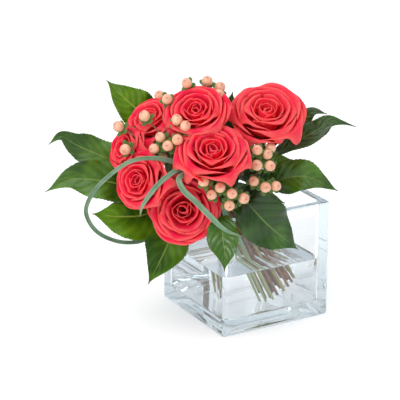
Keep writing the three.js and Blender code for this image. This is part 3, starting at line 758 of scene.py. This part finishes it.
# Each leaf springs from its stem at a share of the stem's length and follows its way to the tip.
# tone runs from 0, darkest, to 1, yellowest; curl lifts its edges; petiole is its bare share.
leaves = {
    "top_left": {"stem": "top_left", "start": 1,
        "way": [(-72, 34, 164), (-86, 47, 180), (-94, 61, 192)],
        "faces": (-0.2, -0.9, 0.4), "width": 31, "petiole": 0.1, "tone": 0.72, "curl": 0.22},
    "top_left_rear": {"stem": "top_left", "start": 0.9,
        "way": [(-52, 42, 153), (-59, 52, 169), (-64, 61, 181)],
        "faces": (0.2, -0.8, 0.5), "width": 26, "petiole": 0.15, "tone": 0.3, "curl": 0.15},
    "left_upper": {"stem": "left", "start": 1,
        "way": [(-110, 24, 138), (-133, 38, 150), (-143, 44, 157), (-154, 44, 152)],
        "faces": (-0.2, -0.7, 0.7), "width": 28, "petiole": 0.12, "tone": 0.38, "curl": 0.26},
    "left_lower": {"stem": "left", "start": 0.93,
        "way": [(-100, 6, 120), (-126, 12, 127), (-147, 20, 129), (-167, 24, 121)],
        "faces": (-0.3, -0.7, 0.6), "width": 34, "petiole": 0.15, "tone": 0.32, "curl": 0.22},
    "low_left": {"stem": "left", "start": 0.86,
        "way": [(-78, -1, 102), (-96, -4, 98), (-118, -2, 100), (-136, 6, 103)],
        "faces": (-0.5, -0.75, 0.4), "width": 40, "petiole": 0.3, "tone": 0.62, "curl": 0.24},
    "over_left_face": {"stem": "left", "start": 0.76,
        "way": [(-55, 0, 102), (-64, -4, 91), (-77, -6, 67), (-93, -5, 39)],
        "faces": (-0.7, -0.6, 0.2), "width": 36, "petiole": 0.25, "tone": 0.5, "curl": 0.22},
    "over_front_corner": {"stem": "front", "start": 1,
        "way": [(-53, -53, 103), (-57, -61, 91), (-58, -66, 79), (-60, -69, 66)],
        "faces": (-0.5, -0.8, 0.2), "width": 25, "petiole": 0.25, "tone": 0.22, "curl": 0.1},
    "over_right_face": {"stem": "right_front", "start": 0.92,
        "way": [(-30, -52, 112), (-20, -59, 98), (-3, -60, 81), (13, -60, 67)],
        "faces": (-0.2, -0.95, 0.2), "width": 39, "petiole": 0.15, "tone": 0.08, "curl": 0.26},
    "under_berries": {"stem": "right_front", "start": 1,
        "way": [(-21, -42, 116), (-12, -49, 113), (2, -57, 107)],
        "faces": (0.1, -0.6, 0.8), "width": 15, "petiole": 0.15, "tone": 0.3, "curl": 0.2},
    "right": {"stem": "right", "start": 0.93,
        "way": [(10, -34, 118), (28, -44, 121), (50, -60, 110)],
        "faces": (-0.1, -0.7, 0.7), "width": 29, "petiole": 0.12, "tone": 0.3, "curl": 0.24},
    "right_small": {"stem": "right", "start": 1,
        "way": [(10, -28, 131), (22, -36, 134)],
        "faces": (-0.3, -0.8, 0.4), "width": 12, "petiole": 0.15, "tone": 0.4, "curl": 0.2},
    "right_curled": {"stem": "upper_right", "start": 0.9,
        "way": [(34, -27, 146), (48, -32, 154), (57, -35, 160), (66, -40, 159), (75, -46, 156)],
        "faces": (0.1, -0.6, 0.8), "width": 19, "petiole": 0.1, "tone": 0.25, "curl": 0.3},
    "right_narrow": {"stem": "upper_right", "start": 1,
        "way": [(30, -16, 148), (40, -18, 158), (50, -22, 166), (58, -30, 165)],
        "faces": (-0.3, -0.8, 0.5), "width": 15, "petiole": 0.15, "tone": 0.3, "curl": 0.2},
    "top_tip": {"stem": "upper_right", "start": 1,
        "way": [(22, -3, 155), (25, 1, 170), (29, 4, 186)],
        "faces": (-0.2, -0.9, 0.2), "width": 16, "petiole": 0.15, "tone": 0.35, "curl": 0.15},
    # partly painted shade: this real leaf is drawn wider than the frame's and in the darkest tone, so that
    # its dark green fills the shade in the gap between the roses
    "between_roses": {"stem": "back", "start": 0.95,
        "way": [(-14, 5, 168), (-9, 6, 184)],
        "faces": (-0.3, -0.9, 0.3), "width": 21, "petiole": 0.05, "tone": 0.1, "curl": 0.15},
    "back_left": {"stem": "top_left", "start": 0.8,
        "way": [(-48, 38, 138), (-56, 62, 144), (-62, 82, 138)],
        "faces": (-0.2, 0.3, 0.9), "width": 28, "petiole": 0.15, "tone": 0.3, "curl": 0.15},
    "back": {"stem": "back", "start": 0.8,
        "way": [(-14, 30, 140), (-12, 54, 150), (-10, 76, 146)],
        "faces": (0, 0.2, 1), "width": 30, "petiole": 0.15, "tone": 0.2, "curl": 0.15},
    "back_right": {"stem": "back", "start": 1,
        "way": [(0, 24, 160), (14, 40, 162), (28, 56, 154)],
        "faces": (0.1, 0.2, 1), "width": 26, "petiole": 0.15, "tone": 0.25, "curl": 0.15},
}
leafShape = {
    "thickness": 0.5, "along": 90, "across": 27, "teeth": 26, "toothDepth": 0.05, "veins": 10,
    "veinSlant": 2.1, "pucker": 0.3, "fold": 0.22, "wave": 0.11,
}


# A leaf: across (-1 to 1) spans the blade, along (0 to 1) follows its spine. Half the width is
# sin(pi t^0.75)^(0.75 + 0.7 t) of the blade's share t, cut into small teeth. The blade folds up
# from its midrib, curls at the edges, waves along them, and puffs up between its side veins.
def leafSkin(points, leaf, rng, material=0):
    p = leafShape
    s = np.linspace(0, 1, leaf.get("rows", p["along"]))
    line = smoothLine(points, s)
    along = directions(line)
    side = unit(np.cross(along, leaf["faces"]))
    normal = np.cross(side, along)
    t = np.clip((s - leaf["petiole"]) / (1 - leaf["petiole"]), 0, 1)
    outline = np.clip(np.sin(np.pi * t ** 0.75), 0, 1) ** (0.75 + 0.7 * t)
    half = leaf["width"] / 2 * outline
    bare = 0.85 - 0.55 * t
    half = np.sqrt(half ** 2 + bare ** 2)[:, None]
    u = np.linspace(-1, 1, p["across"])[None]
    off = np.abs(u)
    tooth = (t[:, None] * p["teeth"] + 0.15 * np.sign(u)) % 1
    blade = ease(t / 0.1)[:, None] * ease((1 - t) / 0.12)[:, None]
    reach = half * u * (1 + p["toothDepth"] * (tooth - 0.6) * blade * ease((off - 0.75) / 0.25))
    size = leaf["width"] / 2 * outline[:, None]
    phase = rng.uniform(0, 2 * np.pi, 4)
    lift = p["fold"] * np.abs(reach)
    curling = np.sin(2.2 * np.pi * t[:, None] + phase[0] + 0.8 * np.sign(u))
    waving = np.sin(5.5 * np.pi * t[:, None] + phase[1] + 1.3 * np.sign(u))
    lift = lift + leaf["curl"] * size * off ** 3 * curling * 0.5
    lift = lift + p["wave"] * size * off ** 2 * waving
    slant = (t[:, None] * p["veins"] * (1 - leaf["petiole"]) + leaf["petiole"] * p["veins"]
             - p["veinSlant"] * off ** 1.25)
    between = np.abs((slant + 20) % 1 - 0.5)
    puff = (1 - ease(between / 0.3)) * blade * ease(off / 0.12) * np.clip(size / 12, 0.2, 1)
    lift = lift - p["pucker"] * puff
    lift = lift - 0.35 * (1 - ease(off / 0.07)) * blade
    twist = 0.12 * np.sin(np.pi * t + phase[2])[:, None] * reach
    grid = line[:, None] + reach[..., None] * side[:, None] + (lift + twist)[..., None] * normal[:, None]
    uv = np.stack(np.broadcast_arrays((u + 1) / 2, s[:, None]), -1)
    thick = p["thickness"] + 0.5 * (1 - ease(off / 0.08)) + 0 * s[:, None]
    # read from the other edge, so that the upper side faces out
    return skin(grid[:, ::-1], thick, uv[:, ::-1], leaf["tone"], material)


def buildLeaf(name, leaf, material, seed):
    root = smoothLine(leafStemPoints(leaf["stem"]), [leaf["start"]])[0]
    points = [root, *[np.array(q, float) for q in leaf["way"]]]
    blade = leafSkin(points, leaf, np.random.default_rng(seed))
    return makePiece("leaf_" + name, [blade], [material], ["leaf_" + name])


# fork is where the twigs part, rise a point on the way up to it.
sprigs = {
    "between_roses": {"angle": 203, "rise": (-52, -17, 128), "fork": (-82, -28, 158), "berries": [
        (-93, -28, 168), (-99, -29, 160), (-91, -36, 163), (-85, -40, 168), (-81, -32, 181),
        (-77, -38, 177), (-90, -26, 150), (-99, -14, 182)]},
    "far_left": {"angle": 128, "rise": (-64, -4, 126), "fork": (-98, -4, 160), "berries": [
        (-114, 1, 172), (-116, -14, 158)]},
    "top_left": {"angle": 78, "rise": (-40, 8, 130), "fork": (-62, 12, 168), "berries": [
        (-72, 12, 188), (-80, -15, 193)]},
    "top": {"angle": 22, "rise": (-24, -6, 138), "fork": (-40, -8, 178), "berries": [
        (-62, -14, 203), (-44, -14, 202), (-35, -18, 197), (-41, -27, 194)]},
    "right_upper": {"angle": 303, "rise": (-18, -30, 116), "fork": (-14, -46, 136), "berries": [
        (-26, -60, 156), (-10, -53, 153), (-17, -60, 151), (-28, -63, 145), (-17, -64, 143)]},
    "right_lower": {"angle": 285, "rise": (-22, -30, 110), "fork": (-16, -44, 120), "berries": [
        (-30, -62, 132), (-22, -66, 127), (-12, -65, 126)]},
    "front": {"angle": 245, "rise": (-36, -32, 112), "fork": (-46, -48, 122), "berries": [
        (-74, -61, 139), (-63, -67, 134), (-55, -71, 129), (-68, -63, 128), (-44, -70, 123),
        (-56, -69, 119)]},
}
# small leaves that sit under the berries: the turn of each round the fork, as seen from the front
sprigLeaves = {
    "between_roses": ((150, 19), (95, 21), (35, 15), (200, 17), (262, 27), (292, 30)),
    "far_left": ((120, 14), (215, 15)),
    "top_left": ((140, 15), (70, 16), (200, 14)), "top": ((150, 17), (85, 16), (30, 14)),
    "right_upper": ((95, 26), (140, 27), (60, 19), (20, 16), (165, 27), (118, 28)),
    "right_lower": ((120, 22), (60, 19), (10, 18), (200, 18), (150, 24), (90, 22)),
    "front": ((150, 27), (172, 29), (110, 20), (215, 22), (60, 20), (20, 18), (132, 28)),
}
sprigLeafShape = {"width": 9.5, "petiole": 0.1, "tone": 0.22, "curl": 0.25, "rows": 40, "behind": 3.0}
berryShape = {"radius": 4.65, "stem": 1.1, "twig": 0.6, "sepals": 5, "sepalWidth": 2.2}


# A berry: its radius is an egg's, broadest above the middle, drawn in to a short beak at the tip.
def berrySkins(at, axis, radius, rng):
    h = np.linspace(-1, 1, 17)
    body = np.sqrt(np.clip(1 - h ** 2, 0, 1)) * (0.93 + 0.06 * h)
    profile = np.column_stack([body * radius * 0.96, h * radius * 1.02])
    beak = radius * np.array([(0.17, 1.02), (0.12, 1.07), (0.09, 1.13), (0.05, 1.17), (0, 1.18)])
    profile = np.vstack([profile[:-1], beak])
    frameAxes = axesOf(axis)
    flesh = turned(at, axis, profile, 22, material=1, tone=rng.uniform(0, 1),
                   lobes=lambda a: 1 + 0.018 * np.cos(3 * a + 1))
    skins = [flesh]
    start = rng.uniform(0, 72)
    for k in range(berryShape["sepals"]):
        a = np.radians(start + 72 * k + rng.uniform(-7, 7))
        out = np.cos(a) * frameAxes[0] + np.sin(a) * frameAxes[1]
        turn = np.cross(frameAxes[2], out)
        s = np.linspace(0, 1, 8)[:, None]
        w = np.linspace(-1, 1, 5)[None]
        bend = s * rng.uniform(0.85, 1.2)
        reach = radius * (0.12 + 1.4 * np.sin(bend * 1.2))
        height = radius * (-1.10 + 0.5 * (1 - np.cos(bend * 1.2)))
        half = berryShape["sepalWidth"] * np.sin(np.pi * (0.14 + 0.84 * s)) ** 0.8
        grid = (at + (reach + 0 * w)[..., None] * out + (half * w)[..., None] * turn
                + (height + 0.12 * np.abs(w) * half)[..., None] * frameAxes[2])
        uv = np.stack(np.broadcast_arrays((w + 1) / 2, s), -1)
        skins.append(skin(grid, 0.35, uv, 0.3, material=2))
    return skins


# A sprig is a stem up to the fork, a bent twig to each berry, and the berries with their sepals.
def buildSprig(name, sprig, materials, seed):
    rng = np.random.default_rng(seed)
    fork = np.array(sprig["fork"], float)
    points = [*stemFootPoints(sheaf["outerRing"], sprig["angle"]), np.array(sprig["rise"], float), fork]
    stem, _, _ = stemSkin(points, berryShape["stem"], 56, 10, (0.75, 0.97), taper=0.1,
                          seed=seed, wobble=0.12)
    skins = [stem]
    for place in sprig["berries"]:
        at = np.array(place, float)
        axis = unit(unit(at - fork) + 0.8 * frontward)
        distance = np.linalg.norm(at - fork)
        knee = at - 0.45 * distance * axis
        t = np.linspace(0, 1, 14)[:, None]
        foot = at - axis * berryShape["radius"] * 0.95
        twig = (1 - t) ** 2 * fork + 2 * t * (1 - t) * knee + t ** 2 * foot
        # thicker where it leaves the fork and where it meets the berry
        swell = 0.55 * np.exp(-((t[:, 0] - 1) / 0.1) ** 2) + 0.5 * np.exp(-(t[:, 0] / 0.1) ** 2)
        width = berryShape["twig"] * (1 + swell)
        skins.append(tubeSkin(roundRings(twig, width, 8)))
        skins += berrySkins(at, axis, berryShape["radius"] * rng.uniform(0.94, 1.04), rng)
    screenRight = unit(np.cross((0, 0, 1), frontward))
    screenUp = np.cross(unit(frontward), screenRight)
    start = fork - sprigLeafShape["behind"] * frontward
    for angle, length in sprigLeaves[name]:
        a = np.radians(angle)
        out = np.cos(a) * screenRight + np.sin(a) * screenUp
        lean = rng.uniform(-0.25, 0.2)
        points = [fork, start + out * length * 0.5, start + out * length + lean * length * frontward]
        faces = frontward + 0.3 * rng.normal(0, 1, 3)
        skins.append(leafSkin(points, {**sprigLeafShape, "faces": faces}, rng, material=3))
    return makePiece("berrySprig_" + name, skins, materials, ["berry_sprig_" + name])


grasses = {
    "long_loop": {"angle": 192, "narrow": 0.3, "twist": 52, "way": [
        (-51, -27, 120), (-64, -34, 137), (-82, -37, 148), (-104, -34, 155), (-119, -28, 153),
        (-132, -18, 141), (-142, -8, 125), (-146, -4, 111), (-140, -1, 96), (-128, 2, 84),
        (-106, 7, 73), (-84, 12, 71), (-66, 14, 86), (-54, 15, 101), (-46, 15, 102), (-40, 15, 95)]},
    "short": {"angle": 213, "narrow": 0.55, "twist": 40, "way": [
        (-52, -30, 121), (-65, -38, 138), (-83, -43, 146), (-102, -45, 139), (-112, -43, 128),
        (-115, -38, 118), (-114, -33, 109)]},
    "over_rim": {"angle": 234, "narrow": 0.5, "twist": 25, "way": [
        (-52, -34, 121), (-66, -43, 137), (-82, -48, 143), (-91, -53, 141), (-90, -58, 134),
        (-82, -62, 125), (-73, -66, 114), (-61, -71, 101), (-45, -71, 92)]},
}
grassShape = {"width": 4.8, "thickness": 0.45, "keel": 0.3}


# A blade of grass: a strip along its way, keeled along the middle, narrow near its foot and drawn
# in to a point over its last stretch. Past the narrow share it turns by its twist, and it turns
# back near the tip.
def buildGrass(name, grass, material):
    points = [*stemFootPoints(sheaf["grassRing"], grass["angle"]),
              *[np.array(q, float) for q in grass["way"]]]
    s = np.linspace(0, 1, 12 * len(points))
    line = smoothLine(points, s)
    along = directions(line)
    side = unit(np.cross(along, frontward))
    normal = np.cross(side, along)
    twisted = ease((s - grass["narrow"]) / 0.2) - ease((s - 0.86) / 0.12)
    turn = np.radians(grass["twist"]) * twisted[:, None]
    side, normal = (np.cos(turn) * side + np.sin(turn) * normal,
                    np.cos(turn) * normal - np.sin(turn) * side)
    half = grassShape["width"] / 2 * np.minimum(1, 0.12 + 7 * (1 - s))
    half = half * (0.4 + 0.6 * ease(s / grass["narrow"]))
    u = np.linspace(-1, 1, 11)[None]
    reach = half[:, None] * u
    lift = grassShape["keel"] * half[:, None] * (np.abs(u) - 0.6) + 0.05 * np.cos(np.pi * 5 * u)
    grid = line[:, None] + reach[..., None] * side[:, None] + lift[..., None] * normal[:, None]
    uv = np.stack(np.broadcast_arrays((u + 1) / 2, s[:, None]), -1)
    blade = skin(grid[:, ::-1], grassShape["thickness"], uv[:, ::-1], 0.5)
    return makePiece("grass_" + name, [blade], [material], ["grass_" + name])


glass = clearFinish("clearGlass", (0.948, 0.964, 0.976), 1.5, 14, 0.03, (0.64, 0.78, 0.84), 7.0, 2.4)
water = clearFinish("clearWater", (0.995, 0.998, 1.0), 1.333, 30, 0.0, (0.7, 0.82, 0.9), 2.0, 1)
petal = petalFinish("coralPetal", 0.0)
palePetal = petalFinish("paleCoralPetal", 0.18)
waxyBlade = leafFinish("waxyLeaf", 0.48, 0.12)
tenderBlade = leafFinish("tenderLeaf", 0.16, 0.0)
grassSkin = grassFinish()
roseBark = stemFinish("roseStem", (0.17, 0.050, 0.030), (0.36, 0.13, 0.08), (0.45, 0.28, 0.14))
leafBark = stemFinish("leafStem", (0.24, 0.24, 0.06), (0.44, 0.38, 0.14), (0.30, 0.20, 0.08))
berryBark = stemFinish("berryTwig", (0.19, 0.11, 0.05), (0.38, 0.18, 0.10), (0.35, 0.20, 0.10))
hip = stemFinish("calyxGreen", (0.07, 0.15, 0.03), (0.14, 0.24, 0.06), (0.24, 0.22, 0.08), 0.5)
berry = berryFinish()
buildVase(glass)
buildWater(water)
print("vase and water made")
for index, (name, rose) in enumerate(roses.items()):
    buildRoseStem(name, rose, roseBark, 100 + index)
    buildCalyx(name, rose, hip, 200 + index)
    buildBloom(name, rose, palePetal if rose.get("pale") else petal, 300 + index)
print("roses made")
for index, name in enumerate(leafStems):
    buildLeafStem(name, leafBark, 400 + index)
for index, (name, leaf) in enumerate(leaves.items()):
    buildLeaf(name, leaf, tenderBlade if leaf["tone"] > 0.45 else waxyBlade, 500 + index)
print("leaves made")
for index, (name, sprig) in enumerate(sprigs.items()):
    buildSprig(name, sprig, [berryBark, berry, hip, waxyBlade], 600 + index)
for name, grass in grasses.items():
    buildGrass(name, grass, grassSkin)
print("berries and grass made")


studio = {
    "cameraAt": (-0.6661, -1.0976, 0.5445), "lookAt": (-0.0178, 0.0435, 0.0824), "lens": 150,
    "floorSize": 6.0, "floorWhite": 0.97,
    "sky": 0.90, "floorDrop": 0.0002, "floorGlow": 0.10, "skyLow": 0.40,
}


def buildFloor():
    h, drop = studio["floorSize"] / 2, studio["floorDrop"]
    mesh = bpy.data.meshes.new("paleFloor")
    mesh.from_pydata([(-h, -h, -drop), (h, -h, -drop), (h, h, -drop), (-h, h, -drop)], [], [(0, 1, 2, 3)])
    floor = bpy.data.objects.new("paleFloor", mesh)
    bpy.context.scene.collection.objects.link(floor)
    material, tree, surface = newFinish("paleFloor", Roughness=0.55)
    surface.inputs["Base Color"].default_value = (*(studio["floorWhite"],) * 3, 1)
    surface.inputs["Specular IOR Level"].default_value = 0.2
    surface.inputs["Emission Color"].default_value = (1, 1, 1, 1)
    surface.inputs["Emission Strength"].default_value = studio["floorGlow"]
    mesh.materials.append(material)


def addLight(name, place, aim, size, power):
    light = bpy.data.lights.new(name, "AREA")
    light.shape = "SQUARE"
    light.size = size
    light.energy = power
    lamp = bpy.data.objects.new(name, light)
    lamp.location = place
    lamp.rotation_euler = (Vector(aim) - Vector(place)).to_track_quat("-Z", "Y").to_euler()
    bpy.context.scene.collection.objects.link(lamp)


scene = bpy.context.scene
world = bpy.data.worlds.new("studio")
world.use_nodes = True
sky = world.node_tree
background = sky.nodes.get("Background") or addNode(sky, "Background")
skyUp = addNode(sky, "SeparateXYZ", {0: addNode(sky, "TexCoord").outputs["Generated"]}).outputs[2]
low, high = (studio["skyLow"],) * 3, (studio["sky"],) * 3
# the sky is dimmer near the horizon, so that glass and leaves have something dark to mirror
sky.links.new(mixColours(sky, rise(sky, skyUp, 0.02, 0.45), low, high), background.inputs["Color"])
background.inputs["Strength"].default_value = 1.0
scene.world = world
buildFloor()
addLight("overhead", (-0.6, -0.3, 2.2), (0, 0, 0.08), 1.6, 15)
addLight("frontLeft", (-1.9, -1.1, 1.3), (-0.03, 0, 0.1), 1.0, 22)
scene.view_settings.view_transform = "Standard"
scene.view_settings.look = "None"
scene.cycles.max_bounces = 28   # light runs up and down inside the thick walls many times
scene.cycles.glossy_bounces = 20
scene.cycles.diffuse_bounces = 8   # red light between petals
scene.cycles.transmission_bounces = 28
scene.cycles.transparent_max_bounces = 24

cameraData = bpy.data.cameras.new("camera")
cameraData.lens = studio["lens"]
cameraData.sensor_width = 36
cameraData.clip_start = 0.01
cameraData.clip_end = 50
camera = bpy.data.objects.new("camera", cameraData)
camera.location = studio["cameraAt"]
gaze = Vector(studio["lookAt"]) - Vector(studio["cameraAt"])
camera.rotation_euler = gaze.to_track_quat("-Z", "Y").to_euler()
scene.collection.objects.link(camera)
scene.camera = camera
print("studio ready")
